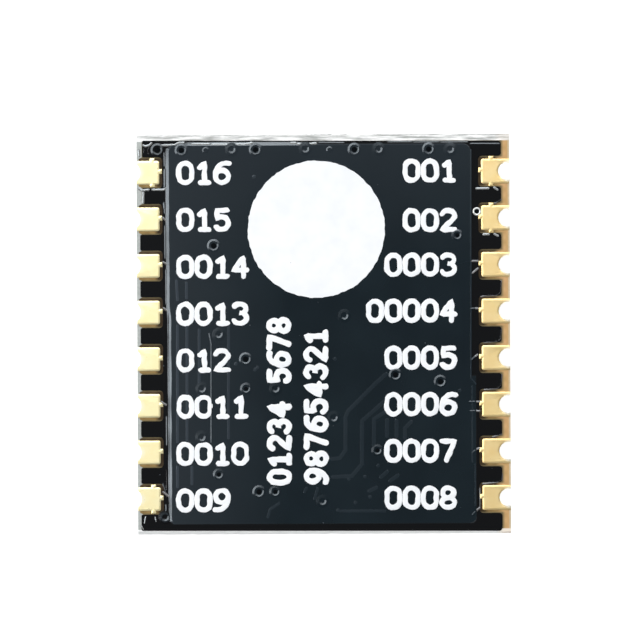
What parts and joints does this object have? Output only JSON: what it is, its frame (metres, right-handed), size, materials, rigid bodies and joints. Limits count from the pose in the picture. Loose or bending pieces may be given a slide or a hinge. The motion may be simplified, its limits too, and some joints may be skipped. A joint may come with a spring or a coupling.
{
  "type": "long-range radio module",
  "caption": "Castellated long-range radio module: black circuit board with gold half-hole terminals down both sides, a shield can and a small coaxial antenna socket beneath",
  "frame": {"origin": "middle of the board's outline, on the plane that the shield can's roof rests on", "axes": "+X to the column of terminals 1 to 8, +Y to the end with the antenna socket, +Z from the can's roof to the board's solder side"},
  "size_m": [0.016, 0.017, 0.0032],
  "materials": {
    "laminate": "glass-epoxy laminate, cut and snapped edges bare",
    "black_solder_mask": "cured lacquer, glossy",
    "copper_foil": "etched copper foil under the mask",
    "gold_plating": "immersion gold over nickel, satin",
    "tinned_steel": "tin-plated steel sheet, softly reflecting",
    "socket_moulding": "moulded heat-proof plastic",
    "chip_moulding": "black moulding compound",
    "crystal_case": "plated lid on a ceramic tray",
    "capacitor": "brown ceramic",
    "resistor": "black glazed ceramic",
    "inductor": "grey ceramic"
  },
  "bodies": {
    "root": {"circuit_board": "laminate", "back_solder_mask": "black_solder_mask", "front_solder_mask": "black_solder_mask", "back_copper_plane": "copper_foil", "front_copper_plane": "copper_foil", "antenna_feed_line": "copper_foil", "terminal_01": "gold_plating", "terminal_02": "gold_plating", "terminal_03": "gold_plating", "terminal_04": "gold_plating", "terminal_05": "gold_plating", "terminal_06": "gold_plating", "terminal_07": "gold_plating", "terminal_08": "gold_plating", "terminal_09": "gold_plating", "terminal_10": "gold_plating", "terminal_11": "gold_plating", "terminal_12": "gold_plating", "terminal_13": "gold_plating", "terminal_14": "gold_plating", "terminal_15": "gold_plating", "terminal_16": "gold_plating", "shield_can": "tinned_steel", "socket_shell": "gold_plating", "socket_insulator": "socket_moulding", "socket_contact": "gold_plating", "radio_chip": "chip_moulding", "reference_crystal": "crystal_case", "antenna_switch": "chip_moulding", "filter_inductor_01": "inductor", "filter_inductor_02": "inductor", "filter_inductor_03": "inductor", "filter_capacitor_01": "capacitor", "filter_capacitor_02": "capacitor", "filter_capacitor_03": "capacitor", "matching_inductor_01": "inductor", "matching_inductor_02": "inductor", "matching_inductor_03": "inductor", "matching_capacitor_01": "capacitor", "matching_capacitor_02": "capacitor", "matching_capacitor_03": "capacitor", "decoupling_capacitor_01": "capacitor", "decoupling_capacitor_02": "capacitor", "decoupling_capacitor_03": "capacitor", "decoupling_capacitor_04": "capacitor", "decoupling_capacitor_05": "capacitor", "pull_up_resistor_01": "resistor", "pull_up_resistor_02": "resistor", "pull_up_resistor_03": "resistor", "pull_up_resistor_04": "resistor", "supply_capacitor_01": "capacitor", "supply_capacitor_02": "capacitor", "supply_capacitor_03": "capacitor"}
  },
  "joints": []
}
